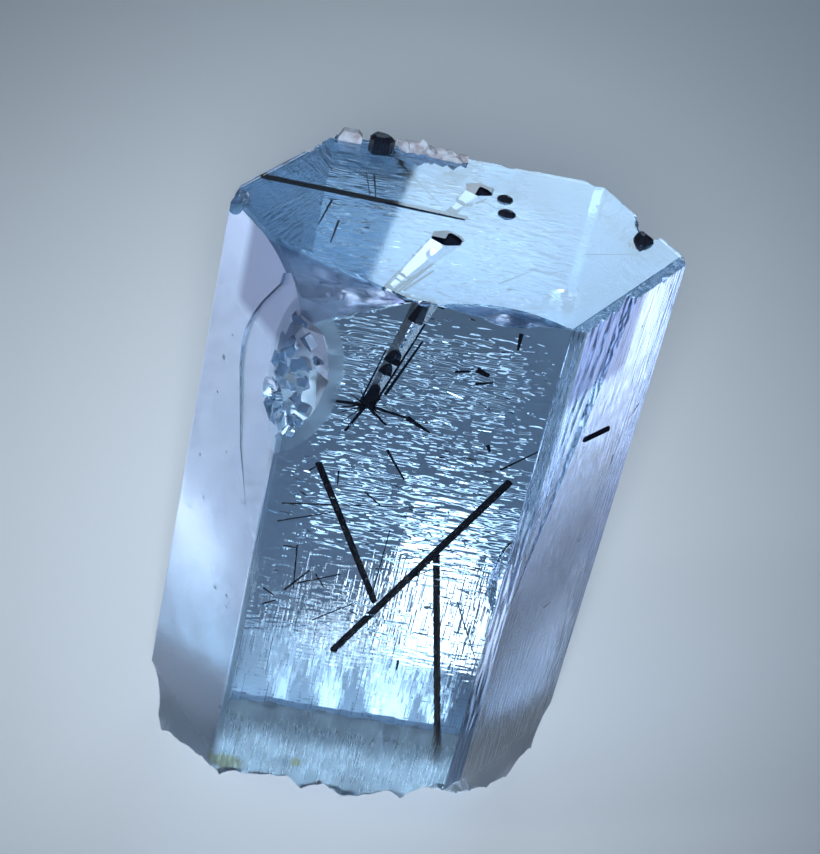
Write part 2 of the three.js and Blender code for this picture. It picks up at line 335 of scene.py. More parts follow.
def ledge_cutter():
    start = corner_between("left_front", "front")
    out = outward("left_front")
    deselect()
    bpy.ops.mesh.primitive_circle_add(vertices=len(LEDGE), fill_type="NGON")
    plate = added("ledge_cutter")
    for vertex, (distance, up) in zip(plate.data.vertices, LEDGE):
        sunk = LEDGE_DEPTH * min(max((up - LEDGE_FOOT) / LEDGE_RISE, 0), 1)
        vertex.co = start - along("left_front") * distance + Vector((0, 0, up)) - out * sunk
    return thicken(plate, out)


cut_away(crystal, ledge_cutter())
print("with its ledge:", len(crystal.data.polygons), "faces")

# %% [markdown]
# The front edge of the top is worn round towards the left, and widens as it goes. A grid that is bent
# round a cone, which touches the top and the front, is extruded outwards and takes that edge away.

# %% Wear the front edge round
WORN_TIP, WORN_END = -2.5, -14.5
WORN_RADIUS = 0.05
WORN_WIDENING = 0.6
WORN_PROUD = 0.02
WORN_WAVE, WORN_WAVES = 0.05, 3
WORN_CELLS = (56, 24)
WORN_CLEARED = (0, -3, 3)


def worn_edge_cutter():
    deselect()
    bpy.ops.mesh.primitive_grid_add(x_subdivisions=WORN_CELLS[0], y_subdivisions=WORN_CELLS[1], size=1)
    sheet = added("worn_edge_cutter")
    for vertex in sheet.data.vertices:
        x = WORN_END + (vertex.co.x + 0.5) * (WORN_TIP - WORN_END)
        radius = WORN_RADIUS + WORN_WIDENING * (WORN_TIP - x)
        turn = (vertex.co.y + 0.5) * math.pi / 2
        wave = WORN_WAVE * math.sin(2 * turn) * noise.noise(Vector((x, WORN_WAVES * turn, 1)))
        y = radius * (1 - math.cos(turn)) - DEPTH / 2 - WORN_PROUD - wave
        vertex.co = (x, y, HEIGHT - radius * (1 - math.sin(turn)) + WORN_PROUD + wave)
    return thicken(sheet, WORN_CLEARED)


cut_away(crystal, worn_edge_cutter())
print("with a worn edge:", len(crystal.data.polygons), "faces")

# %% [markdown]
# ## Chips
#
# Beryl breaks like glass, in shells. Each chip here is a ball that is roughened with noise, stretched
# and cut out of the edge that it broke off. Stretching it last draws the roughness out along the chip
# too. The longest one took off the front left edge.

# %% Chip the edges and the rim
# Each chip: middle, radii, roughness, and for two of them how often the ball is divided.
CHIPS = (
    ((-9.15, -11.35, 31.2), (3.75, 3.75, 5.45), 1.6, 2),
    ((-9.8, -8.0, 29.0), (1.15, 1.15, 1.1), 1, 2),
    ((2.2, -10.2, 37.6), (5.2, 2.7, 0.95), 0.4),
    ((2.4, -9.95, 37.4), (2.2, 1.6, 1.1), 0.6),
    ((-13.4, -1.3, 37.2), (1.5, 1.7, 1.2), 1),
    ((11.15, 4.45, 37.5), (0.9, 1.6, 1.5), 1),
    ((3.9, 9.85, 37.4), (1.4, 1.0, 0.9), 1),
    ((13.3, 1.2, 1.4), (1.7, 1.9, 2.6), 1),
    ((-13.2, -1.0, 1.0), (2.4, 2.2, 2.6), 1),
    ((8.2, 9.45, 13.0), (1.3, 1.2, 3.2), 0.6),
)
SHELL_STEPS = ((0.5, 0.1), (0.17, 0.035))


def chip_cutter(centre, radii, roughness, fineness=5):
    deselect()
    bpy.ops.mesh.primitive_ico_sphere_add(subdivisions=fineness, radius=1, location=centre)
    ball = added("chip_cutter")
    for size, strength in SHELL_STEPS:
        cloud = bpy.data.textures.new("shell_steps", "CLOUDS")
        cloud.noise_scale = size
        rough = ball.modifiers.new("rough", "DISPLACE")
        rough.texture = cloud
        rough.texture_coords = "GLOBAL"
        rough.strength = strength * roughness
        rough.mid_level = 0.5
        apply_modifier(ball, rough)
    ball.scale = radii
    apply_place(ball)
    return ball


for chip in CHIPS:
    cut_away(crystal, chip_cutter(*chip))
print("chipped:", len(crystal.data.polygons), "faces")

# %% [markdown]
# Inside the large chip, and along the sharp rims, the break is hackly: many small flat facets that
# each catch the light. Small blocks in the chip, and balls with few faces at the rims, are turned at
# random and cut those. The same balls leave a few shallow pits in the side faces.

# %% Break small facets out of the chip and the rims
SCOOP_SEED = 5
SPLINTER_COUNT = 40
NICK_COUNT = 64
PIT_COUNT = 70
CHIP_MIDDLE = Vector(CHIPS[0][0])
CHIP_RADIUS, _, CHIP_HALF = CHIPS[0][1]
SCOOP_STRETCH = ((0.7, 1.3), (0.7, 1.3), (0.6, 1.1))
SPLINTER_STRETCH = ((0.7, 1.2), (0.7, 1.2), (1.0, 2.4))
SPLINTER_TOP, SPLINTER_SPAN, SPLINTER_BIAS = 3.6, 7.8, 0.6
SPLINTER_TURNS = (50, 96)
SPLINTER_SUNK = (0.05, 0.3)
SPLINTER_SIZES = (0.3, 0.9)
NICK_SMALL, NICK_SPREAD = 0.14, 0.6
NICK_PROUD = 0.12
PIT_SMALL, PIT_SPREAD = 0.05, 0.16
PIT_PROUD = (0.2, 0.7)
PIT_FACES = ("left_front", "left_front", "right_front")
PIT_LEVELS = (4, HEIGHT - 2)


def scoop(draw, place, radius):
    deselect()
    turn = [draw.uniform(0, math.pi) for _ in range(3)]
    bpy.ops.mesh.primitive_ico_sphere_add(subdivisions=1, radius=radius, location=place, rotation=turn)
    ball = added("scoop")
    ball.scale = [draw.uniform(*stretch) for stretch in SCOOP_STRETCH]
    return ball


def splinter(draw, place, size):
    deselect()
    turn = [draw.uniform(0, math.pi) for _ in range(3)]
    bpy.ops.mesh.primitive_cube_add(size=size, location=place, rotation=turn)
    block = added("splinter")
    block.scale = [draw.uniform(*stretch) for stretch in SPLINTER_STRETCH]
    return block


def chip_splinters(draw):
    made = []
    for _ in range(SPLINTER_COUNT):
        up = SPLINTER_TOP - SPLINTER_SPAN * draw.random() ** SPLINTER_BIAS
        turn = math.radians(draw.uniform(*SPLINTER_TURNS))
        reach = CHIP_RADIUS * math.sqrt(1 - (up / CHIP_HALF) ** 2) - draw.uniform(*SPLINTER_SUNK)
        place = CHIP_MIDDLE + Vector((reach * math.cos(turn), reach * math.sin(turn), up))
        made.append(splinter(draw, place, draw.uniform(*SPLINTER_SIZES)))
    return made


def rim_nicks(draw):
    made = []
    names = list(FACES)
    for _ in range(NICK_COUNT):
        at = draw.randrange(len(names))
        start = corner_between(names[at - 1], names[at])
        end = corner_between(names[at], names[(at + 1) % len(names)])
        place = start.lerp(end, draw.random()) + outward(names[at]) * draw.uniform(0, NICK_PROUD)
        place.z = HEIGHT + draw.uniform(0, NICK_PROUD)
        made.append(scoop(draw, place, NICK_SMALL + NICK_SPREAD * draw.random() ** 3))
    return made


def face_pits(draw):
    made = []
    for _ in range(PIT_COUNT):
        face = draw.choice(PIT_FACES)
        inner = corner_between("front", face)
        outer = corner_between(face, "left_edge" if face == "left_front" else "right_edge")
        radius = PIT_SMALL + PIT_SPREAD * draw.random() ** 3
        place = inner.lerp(outer, draw.random()) + outward(face) * radius * draw.uniform(*PIT_PROUD)
        place.z = draw.uniform(*PIT_LEVELS)
        made.append(scoop(draw, place, radius))
    return made


scooping = random.Random(SCOOP_SEED)
scoops = joined(chip_splinters(scooping) + rim_nicks(scooping) + face_pits(scooping), "scoops")
apply_place(scoops)
cut_away(crystal, scoops, overlapping=True)
print("with small facets:", len(crystal.data.polygons), "faces")

# %% [markdown]
# ## Channels on the top
#
# Two etched channels open on the top face and run down beside broken black rods. They are slanted six-
# sided holes, so their walls flash like mirrors from inside the clear crystal.

# %% Sink the two channels
CHANNELS = (
    ((-3.45, -2.5, 28.3), (-0.75, -1.41, 37.5), 0.32, 0.98),
    ((-0.1, 4.75, 33.6), (1.15, 5.35, 37.4), 0.3, 0.95),
)


def channel_cutter(low, high, low_radius, high_radius):
    middle, turn, length = between(low, high)
    deselect()
    bpy.ops.mesh.primitive_cone_add(
        vertices=6, radius1=low_radius, radius2=high_radius, depth=length, location=middle, rotation=turn
    )
    hole = added("channel_cutter")
    apply_place(hole)
    return hole


for channel in CHANNELS:
    cut_away(crystal, channel_cutter(*channel))
print("with channels:", len(crystal.data.polygons), "faces")

# %% [markdown]
# ## The broken base
#
# The crystal was snapped off its matrix. The break is flat behind, where it stands, and climbs to a
# ragged lip along the front. A grid whose points are lifted to the height of the break, and pulled
# down into a thick slab, makes a cutter for it: what the slab takes away leaves the break behind.

# %% Break off the base
REST_EDGE = -4.4
SETTLE = 0.15
FRONT_LIP = 2.2
CORNER_LIP = 1.9
CORNER_REACH = 2.6
WAVE = 0.7
WAVE_LENGTH = 3.1
WAVE_SLANT = 0.35
DRIFT_SCALE = 0.22
RIM_RISE = 1.0
RIM_REACH = 1.6
BACK_CALM, BACK_BAND = 0.7, (7.2, 8.4)
RAGGED_RISE, RAGGED_BAND, RAGGED_SCALE = 0.5, (8.3, 9.1), 1.1
GRAINS = ((0.3, 0.7, 3), (0.16, 2, 5))
BREAK_CELL = 0.25
BREAK_SPAN = (28, 20)
BREAK_THICKNESS = 8


def smooth_step(value, low, high):
    share = min(max((value - low) / (high - low), 0), 1)
    return share * share * (3 - 2 * share)


def rim_distance(point):
    return min(FACES[face][1] - outward(face).dot(point) for face in FACES)


def break_height(x, y):
    here = Vector((x, y, 0))
    front = smooth_step(REST_EDGE - y, 0, DEPTH / 2 + REST_EDGE)
    corner = corner_between("front", "right_front")
    near_corner = math.exp(-((here - corner).length / CORNER_REACH) ** 2)
    drift = WAVE_LENGTH * noise.noise(Vector((x * DRIFT_SCALE, y * DRIFT_SCALE, 9)))
    wave = abs(math.sin(math.pi * (x + WAVE_SLANT * y + drift) / WAVE_LENGTH))
    rim = RIM_RISE * smooth_step(RIM_REACH - rim_distance(here), 0, RIM_REACH) * wave
    rim *= 1 - BACK_CALM * smooth_step(y, *BACK_BAND)
    ragged = max(noise.noise(Vector((x * RAGGED_SCALE, 4, 6))), 0)
    rim += RAGGED_RISE * smooth_step(y, *RAGGED_BAND) * ragged
    grain = sum(size * noise.noise(Vector((x * scale, y * scale, seed))) for size, scale, seed in GRAINS)
    lip = FRONT_LIP * front + CORNER_LIP * near_corner + WAVE * front * wave
    lifted = max(0, lip + rim * (1 - front) - SETTLE)
    return lifted + grain * min(1, lifted)


def break_cutter():
    deselect()
    cells = [round(span / BREAK_CELL) for span in BREAK_SPAN]
    bpy.ops.mesh.primitive_grid_add(x_subdivisions=cells[0], y_subdivisions=cells[1], size=1)
    slab = added("break_cutter")
    bpy.ops.transform.resize(value=(*BREAK_SPAN, 1))
    apply_place(slab)
    for vertex in slab.data.vertices:
        vertex.co.z = break_height(vertex.co.x, vertex.co.y)
    return thicken(slab, (0, 0, -BREAK_THICKNESS))


cut_away(crystal, break_cutter())
print("with its broken base:", len(crystal.data.polygons), "faces")

# %% [markdown]
# ## Etched back faces
#
# Through the clear front, the back of the crystal shows as a field of flat ripples, longer than they
# are tall. Growth layers and etching leave such relief. It bends the light that crosses it, so it has
# to be in the surface: a fine grid with stretched noise makes a slab that shaves each back face.

# %% Shave ripples into the back faces
# For each back face: depth of its ripples, and offset and width of the rippled part.
RIPPLED = {"back": (0.12, 0.3, 15.9), "right_back": (0.12, 4.6, 8.6), "left_back": (0.1, -3.3, 11.1)}
RIPPLE_CELLS = (0.24, 0.13)
RIPPLE_FADE = (9.5, 13.5)
RIPPLE_START = (-13.5, -9)
RIPPLE_CALM = 0.2
RIPPLE_MEAN, RIPPLE_SWING = 0.55, 0.5
RIPPLE_MARGIN = 2
RIPPLE_THICKNESS = 2
RIPPLE_DROP = 1.5
RIPPLE_LENGTHS = ((1.2, 0.36, 1.0), (0.6, 0.22, 0.5))


def ripple(across, up):
    height = 0
    for length, rise, share in RIPPLE_LENGTHS:
        height += share * noise.noise(Vector((across / length, up / rise, 7 * length)))
    return height


def ripple_cutter(face):
    depth, offset, width = RIPPLED[face]
    tall = HEIGHT + RIPPLE_MARGIN
    deselect()
    cells = (round(width / RIPPLE_CELLS[0]), round(tall / RIPPLE_CELLS[1]))
    bpy.ops.mesh.primitive_grid_add(x_subdivisions=cells[0], y_subdivisions=cells[1], size=1)
    slab = added("ripple_cutter")
    bpy.ops.transform.resize(value=(width, tall, 1))
    apply_place(slab)
    for vertex in slab.data.vertices:
        calm = RIPPLE_CALM + (1 - RIPPLE_CALM) * smooth_step(vertex.co.y, *RIPPLE_START)
        calm -= (1 - RIPPLE_CALM) * smooth_step(vertex.co.y, *RIPPLE_FADE)
        wave = calm * ripple(vertex.co.x + FACES[face][0], vertex.co.y)
        vertex.co.z = -depth * (RIPPLE_MEAN + RIPPLE_SWING * wave)
    thicken(slab, (0, 0, RIPPLE_THICKNESS))
    middle = outward(face) * FACES[face][1] - along(face) * offset
    middle.z = HEIGHT / 2 - RIPPLE_DROP
    axes = Matrix((along(face), Vector((0, 0, 1)), outward(face))).transposed().to_4x4()
    slab.matrix_world = Matrix.Translation(middle) @ axes
    apply_place(slab)
    return slab


for face in RIPPLED:
    cut_away(crystal, ripple_cutter(face))
print("with etched backs:", len(crystal.data.polygons), "faces")

# %% [markdown]
# Smooth shading would bend the light on the large flat faces wherever a shallow chip runs out on them.
# So only the small chips, the break and the ripples are shaded smooth. Every face that lies in a plane
# of the crystal stays flat, and so do the facets of the large chip.

# %% Shade the crystal
FLAT_DIRECTIONS = [outward(face) for face in FACES] + [Vector((0, 0, 1)), Vector((0, 0, -1))]
FLAT_COSINE = 0.99999
HACKLY_REACH = 1.2
CRYSTAL_SMOOTH_ANGLE = 22


def in_large_chip(place):
    centre, radii = CHIPS[0][:2]
    return sum(((p - c) / r) ** 2 for p, c, r in zip(place, centre, radii)) < HACKLY_REACH ** 2


def lies_flat(polygon):
    return any(polygon.normal.dot(flat) > FLAT_COSINE for flat in FLAT_DIRECTIONS)


def shade_flat_faces(piece):
    pick(piece)
    bpy.ops.object.mode_set(mode="EDIT")
    bpy.ops.mesh.select_all(action="DESELECT")
    leave_edit()
    for polygon in piece.data.polygons:
        polygon.select = lies_flat(polygon) or in_large_chip(polygon.center)
    bpy.ops.object.mode_set(mode="EDIT")
    bpy.ops.mesh.faces_shade_flat()
    leave_edit()


close_up(crystal, CRYSTAL_SMOOTH_ANGLE)
shade_flat_faces(crystal)
print("flat faces:", sum(1 for polygon in crystal.data.polygons if not polygon.use_smooth))

# %% [markdown]
# ## Inclusions
#
# Beryl often holds thin flat hollows, filled with fluid or air, that lie square to its length, and
# fine hollow tubes along it, called rain. Seen through a side, the flat ones mirror what is above and
# sparkle. Each one is a small prism turned inside out, because the crystal's surface also bounds it
# there.

# %% Scatter hollows in the crystal
HOLLOW_SEED = 11
HOLLOW_TURN = 0.4
PLATES = 280
PLATE_LOW = Vector((-6.8, -7.4, 13.0))
PLATE_HIGH = Vector((6.0, 7.2, 34.2))
PLATE_SMALL, PLATE_SPREAD = 0.035, 0.12
PLATE_STRETCH = (1.6, 4.2)
PLATE_THICKNESS = (0.02, 0.04)
PLATE_TILT = 0.1
# Tubes inside and streaks under the front: number, low and high corner, radii, lengths, tilt.
RAIN = (
    (40, (-7.2, -8.2, 3.4), (6.2, 6.5, 17.0), (0.012, 0.035), (0.5, 3.2), 0.01),
    (14, (-7.9, -9.05, 3.6), (6.6, -8.5, 14.5), (0.01, 0.024), (1.0, 3.4), 0.006),
)


def hollow(draw, low, high, radii, length, tilt):
    place = [draw.uniform(a, b) for a, b in zip(low, high)]
    turn = (draw.gauss(0, tilt), draw.gauss(0, tilt), draw.uniform(-HOLLOW_TURN, HOLLOW_TURN))
    bpy.ops.mesh.primitive_cylinder_add(vertices=6, radius=1, depth=1, location=place, rotation=turn)
    made = added("hollow")
    made.scale = (*radii, length)
    return made


def scattered_hollows():
    draw = random.Random(HOLLOW_SEED)
    made = []
    for _ in range(PLATES):
        size = PLATE_SMALL + PLATE_SPREAD * draw.random() ** 2
        radii = (size * draw.uniform(*PLATE_STRETCH), size)
        made.append(hollow(draw, PLATE_LOW, PLATE_HIGH, radii, draw.uniform(*PLATE_THICKNESS), PLATE_TILT))
    for count, low, high, radii, lengths, tilt in RAIN:
        for _ in range(count):
            radius = draw.uniform(*radii)
            made.append(hollow(draw, low, high, (radius, radius), draw.uniform(*lengths), tilt))
    hollows = joined(made, "hollows")
    apply_place(hollows)
    turn_normals(hollows, inside=True)
    return hollows


crystal = joined([crystal, scattered_hollows()], "aquamarine_body")
print("with inclusions:", len(crystal.data.polygons), "faces")

# %% [markdown]
# ## Aquamarine
#
# Clear beryl bends light by 1.575 and takes red out of it, so a thick piece looks blue. The index, the
# transmission and the absorption are plain values. What changes from face to face is the finish: the
# flat top and the front are glossy, the left front face is satin, the right one is scratched and the
# break is dull. The lower part of the right front face and the worn edge also get a dark violet grey
# mixed into their colour: painted shade, darker towards the bottom of that face. A mask for each face
# comes from how far out a point lies in that face's direction. A shadow ray meets a plain tinted
# see-through shader instead, so that the crystal throws a soft blue shadow.

# %% Mix the clear blue material
IOR = 1.575
ABSORPTION_COLOUR = (0.02, 0.57, 0.95, 1)
ABSORPTION_DENSITY = 17
SIDE_SHADE = (0.17, 0.27, 0.38, 1)
BASE_SHADE = (0.9, 0.95, 1, 1)
# Painted shade: a dark violet grey mixed into the colour of the lower right front face and the worn edge.
PAINTED_SHADE = (0.27, 0.25, 0.33, 1)
STAIN_COLOUR = (0.62, 0.5, 0.2, 1)
STAIN_STRENGTH = 5
STAINS = (
    ((-7.6, -9.1, 3.3), (1.5, 1.2, 0.7)),
    ((-3.4, -9.1, 4.1), (0.45, 0.6, 0.45)),
    ((7.5, -7.8, 6.6), (0.6, 0.7, 1.5)),
)
SCRATCH_TURN = (math.radians(20), math.radians(-24), 0)
BUMP_STRENGTH = 0.6
BUMP_HEIGHT = 0.06 * MM
MASK_EDGE = 0.1
LEFT_SUNK, RIGHT_SUNK, FRONT_SUNK = 0.25, 0.6, 0.03
CLEFT_EDGE, CLEFT_SOFTNESS = 1.15, 0.03
# Heights over which a mask fades in downwards.
BREAK_BAND = (4.2, 1.4)
UNDERSIDE_BAND = (2.2, 1.0)
LOWER_HALF = (24, 6)
LOWEST_PART = (9, 6.3)
# The painted shade on the right front face grows downwards over these heights.
PAINTED_SHADE_BAND = (34, 20)
ETCHED_BAND = (32, 28)
LINED_BAND = (15, 9)
TOP_BAND = (HEIGHT - 0.1, HEIGHT - 0.04)
WORN_BELOW_TOP = (HEIGHT - 0.02, HEIGHT - 0.1)
WORN_ABOVE = (31.5, 32.5)
# Distances from the middle over which a mask fades in, towards the back or the front.
BEHIND_BAND = (3, 7)
WORN_FORWARD = (3, 4)
WORN_OFF_FRONT = (0.01 - DEPTH / 2, 0.08 - DEPTH / 2)
LIP_BAND = (3.4, 5.4)
UP, DOWN, TO_BACK, TO_FRONT = (0, 0, 1), (0, 0, -1), (0, 1, 0), (0, -1, 0)


def new_material(name):
    material = bpy.data.materials.new(name)
    material.use_nodes = True
    material.node_tree.nodes.clear()
    return material, material.node_tree


def node(tree, kind, **values):
    made = tree.nodes.new(kind)
    for key, value in values.items():
        setattr(made, key, value)
    return made


def math_node(tree, operation, a, b=None, clamp=False):
    made = node(tree, "ShaderNodeMath", operation=operation, use_clamp=clamp)
    for socket, value in zip(made.inputs, (a, b)):
        if value is None:
            continue
        if isinstance(value, (int, float)):
            socket.default_value = value
        else:
            tree.links.new(value, socket)
    return made.outputs[0]


def beyond(tree, place, direction, low, high):
    dot = node(tree, "ShaderNodeVectorMath", operation="DOT_PRODUCT")
    tree.links.new(place, dot.inputs[0])
    dot.inputs[1].default_value = direction
    ramp = node(tree, "ShaderNodeMapRange", interpolation_type="SMOOTHSTEP")
    tree.links.new(dot.outputs["Value"], ramp.inputs["Value"])
    ramp.inputs["From Min"].default_value = low * MM
    ramp.inputs["From Max"].default_value = high * MM
    return ramp.outputs["Result"]


def below(tree, place, high, low):
    return beyond(tree, place, DOWN, -high, -low)


def on_face(tree, place, face, sunk):
    offset = FACES[face][1]
    return beyond(tree, place, outward(face), offset - sunk - MASK_EDGE, offset - sunk)


def all_of(tree, *masks):
    total = masks[0]
    for mask in masks[1:]:
        total = math_node(tree, "MULTIPLY", total, mask)
    return total


def stretched_noise(tree, place, size, detail, turn=(0, 0, 0)):
    mapping = node(tree, "ShaderNodeMapping")
    tree.links.new(place, mapping.inputs["Vector"])
    mapping.inputs["Rotation"].default_value = turn
    mapping.inputs["Scale"].default_value = [1 / (s * MM) for s in size]
    texture = node(tree, "ShaderNodeTexNoise")
    texture.inputs["Scale"].default_value = 1
    texture.inputs["Detail"].default_value = detail
    tree.links.new(mapping.outputs["Vector"], texture.inputs["Vector"])
    return texture.outputs["Fac"]


def weighted_sum(tree, terms):
    total = None
    for mask, amount in terms:
        term = math_node(tree, "MULTIPLY", mask, amount)
        total = term if total is None else math_node(tree, "ADD", total, term)
    return total


def distance_from(tree, place, centre, radii):
    mapping = node(tree, "ShaderNodeMapping", vector_type="TEXTURE")
    tree.links.new(place, mapping.inputs["Vector"])
    mapping.inputs["Location"].default_value = [c * MM for c in centre]
    mapping.inputs["Scale"].default_value = [r * MM for r in radii]
    far = node(tree, "ShaderNodeVectorMath", operation="LENGTH")
    tree.links.new(mapping.outputs["Vector"], far.inputs[0])
    return far.outputs["Value"]


def inside_ball(tree, place, centre, radii, edge, softness):
    ramp = node(tree, "ShaderNodeMapRange", interpolation_type="SMOOTHSTEP")
    tree.links.new(distance_from(tree, place, centre, radii), ramp.inputs["Value"])
    ramp.inputs["From Min"].default_value = edge
    ramp.inputs["From Max"].default_value = edge - softness
    return ramp.outputs["Result"]


def stain_mask(tree, place, cloud):
    total = None
    for centre, radii in STAINS:
        near = math_node(tree, "SUBTRACT", 1.0, distance_from(tree, place, centre, radii), clamp=True)
        total = near if total is None else math_node(tree, "MAXIMUM", total, near)
    return math_node(tree, "MULTIPLY", all_of(tree, total, cloud), STAIN_STRENGTH, clamp=True)


def aquamarine():
    material, tree = new_material("aquamarine")
    link = tree.links.new
    place = node(tree, "ShaderNodeTexCoord").outputs["Object"]
    left = on_face(tree, place, "left_front", LEFT_SUNK)
    right = on_face(tree, place, "right_front", RIGHT_SUNK)
    front = on_face(tree, place, "front", FRONT_SUNK)
    top = beyond(tree, place, UP, *TOP_BAND)
    low = below(tree, place, *BREAK_BAND)
    lower_half = below(tree, place, *LOWER_HALF)
    behind = beyond(tree, place, TO_BACK, *BEHIND_BAND)
    cleft = inside_ball(tree, place, *CHIPS[0][:2], CLEFT_EDGE, CLEFT_SOFTNESS)
    worn = all_of(
        tree,
        below(tree, place, *WORN_BELOW_TOP),
        beyond(tree, place, UP, *WORN_ABOVE),
        beyond(tree, place, TO_FRONT, *WORN_FORWARD),
        beyond(tree, place, TO_BACK, *WORN_OFF_FRONT),
    )
    underside = below(tree, place, *UNDERSIDE_BAND)
    front_low = all_of(tree, front, lower_half)
    front_lowest = all_of(tree, front, below(tree, place, *LOWEST_PART))
    striation = stretched_noise(tree, place, (0.13, 0.13, 3.2), 1)
    rough = weighted_sum(
        tree,
        (
            (left, 0.26),
            (right, 0.16),
            (all_of(tree, right, lower_half), 0.08),
            (top, 0.05),
            (low, 0.1),
            (all_of(tree, low, beyond(tree, place, TO_FRONT, *LIP_BAND)), 0.05),
            (front_low, 0.05),
            (all_of(tree, striation, front_lowest), 0.46),
            (cleft, 0.24),
            (worn, 0.16),
        ),
    )
    streaks = stretched_noise(tree, place, (0.16, 3.2, 3.2), 0)
    scratches = stretched_noise(tree, place, (0.16, 0.16, 1.8), 0, SCRATCH_TURN)
    etching = stretched_noise(tree, place, (0.75, 0.75, 0.2), 0)
    height = weighted_sum(
        tree,
        (
            (all_of(tree, striation, front_low), 0.08),
            (all_of(tree, striation, front_lowest), 0.42),
            (all_of(tree, striation, behind, below(tree, place, *LINED_BAND)), 3),
            (all_of(tree, streaks, underside), 3),
            (all_of(tree, scratches, right), 2.2),
            (all_of(tree, etching, behind, below(tree, place, *ETCHED_BAND)), 1.5),
        ),
    )
    bump = node(tree, "ShaderNodeBump")
    bump.inputs["Strength"].default_value = BUMP_STRENGTH
    bump.inputs["Distance"].default_value = BUMP_HEIGHT
    link(height, bump.inputs["Height"])
    tint = node(tree, "ShaderNodeMix", data_type="RGBA")
    tint.inputs["A"].default_value = (1, 1, 1, 1)
    tint.inputs["B"].default_value = STAIN_COLOUR
    link(stain_mask(tree, place, striation), tint.inputs["Factor"])
    # Painted shade: darkens the colour of the lower right front face and of the worn edge.
    painted_shade = node(tree, "ShaderNodeMix", data_type="RGBA")
    painted_shade.inputs["B"].default_value = PAINTED_SHADE
    link(tint.outputs["Result"], painted_shade.inputs["A"])
    painted_shade_mask = all_of(tree, right, below(tree, place, *PAINTED_SHADE_BAND))
    link(math_node(tree, "MAXIMUM", painted_shade_mask, worn), painted_shade.inputs["Factor"])
    shader = node(tree, "ShaderNodeBsdfPrincipled")
    shader.inputs["IOR"].default_value = IOR
    shader.inputs["Transmission Weight"].default_value = 1
    link(painted_shade.outputs["Result"], shader.inputs["Base Color"])
    link(rough, shader.inputs["Roughness"])
    link(bump.outputs["Normal"], shader.inputs["Normal"])
    shade = node(tree, "ShaderNodeBsdfTransparent")
    let_through = node(tree, "ShaderNodeMix", data_type="RGBA")
    let_through.inputs["A"].default_value = SIDE_SHADE
    let_through.inputs["B"].default_value = BASE_SHADE
    link(underside, let_through.inputs["Factor"])
    link(let_through.outputs["Result"], shade.inputs["Color"])
    rays = node(tree, "ShaderNodeLightPath")
    mix = node(tree, "ShaderNodeMixShader")
    link(rays.outputs["Is Shadow Ray"], mix.inputs["Fac"])
    link(shader.outputs["BSDF"], mix.inputs[1])
    link(shade.outputs["BSDF"], mix.inputs[2])
    blue = node(tree, "ShaderNodeVolumeAbsorption")
    blue.inputs["Color"].default_value = ABSORPTION_COLOUR
    blue.inputs["Density"].default_value = ABSORPTION_DENSITY
    out = node(tree, "ShaderNodeOutputMaterial")
    link(mix.outputs["Shader"], out.inputs["Surface"])
    link(blue.outputs["Volume"], out.inputs["Volume"])
    return material


crystal.data.materials.clear()
crystal.data.materials.append(aquamarine())
to_metres(crystal)
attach(crystal, "root")
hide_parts("crystal_front", "crystal_back")
print("clear piece:", len(crystal.data.vertices), "points")

# %% [markdown]
# ## Schorl
#
# Black tourmaline is glassy and striated along its length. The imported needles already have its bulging
# three-sided section, so they only need their finish. Inside the crystal a needle hardly shines,
# because beryl bends light nearly as much as it does: there it gets no specular level.

# %% Give the needles their finish
SCHORL_BLACK = (0.004, 0.005, 0.009, 1)
SCHORL_IOR = 1.64
SCHORL_ROUGHNESS = (0.16, 0.4)
# Albite tones: the pale grains' own grey, darkened further as painted shade.
ALBITE_SHADED_TONES = ((0.3, (0.17, 0.15, 0.16, 1)), (0.6, (0.27, 0.29, 0.33, 1)))
ALBITE_ROUGHNESS = 0.4


def schorl(name, specular):
    material, tree = new_material(name)
    link = tree.links.new
    place = node(tree, "ShaderNodeTexCoord").outputs["Object"]
    grain = stretched_noise(tree, place, (0.15, 0.15, 2.5), 3)
    ramp = node(tree, "ShaderNodeMapRange")
    link(grain, ramp.inputs["Value"])
    ramp.inputs["To Min"].default_value, ramp.inputs["To Max"].default_value = SCHORL_ROUGHNESS
    bump = node(tree, "ShaderNodeBump")
    bump.inputs["Strength"].default_value = 0.5
    bump.inputs["Distance"].default_value = 0.03 * MM
    link(grain, bump.inputs["Height"])
    shader = node(tree, "ShaderNodeBsdfPrincipled")
    shader.inputs["Base Color"].default_value = SCHORL_BLACK
    shader.inputs["IOR"].default_value = SCHORL_IOR
    shader.inputs["Specular IOR Level"].default_value = specular
    link(ramp.outputs["Result"], shader.inputs["Roughness"])
    link(bump.outputs["Normal"], shader.inputs["Normal"])
    out = node(tree, "ShaderNodeOutputMaterial")
    link(shader.outputs["BSDF"], out.inputs["Surface"])
    return material


def albite():
    material, tree = new_material("albite")
    link = tree.links.new
    place = node(tree, "ShaderNodeTexCoord").outputs["Object"]
    cloud = stretched_noise(tree, place, (0.5, 0.5, 0.5), 4)
    ramp = node(tree, "ShaderNodeValToRGB")
    for stop, (position, colour) in zip(ramp.color_ramp.elements, ALBITE_SHADED_TONES):
        stop.position = position
        stop.color = colour
    link(cloud, ramp.inputs["Fac"])
    bump = node(tree, "ShaderNodeBump")
    bump.inputs["Distance"].default_value = 0.05 * MM
    link(cloud, bump.inputs["Height"])
    shader = node(tree, "ShaderNodeBsdfPrincipled")
    shader.inputs["Roughness"].default_value = ALBITE_ROUGHNESS
    link(ramp.outputs["Color"], shader.inputs["Base Color"])
    link(bump.outputs["Normal"], shader.inputs["Normal"])
    out = node(tree, "ShaderNodeOutputMaterial")
    link(shader.outputs["BSDF"], out.inputs["Surface"])
    return material


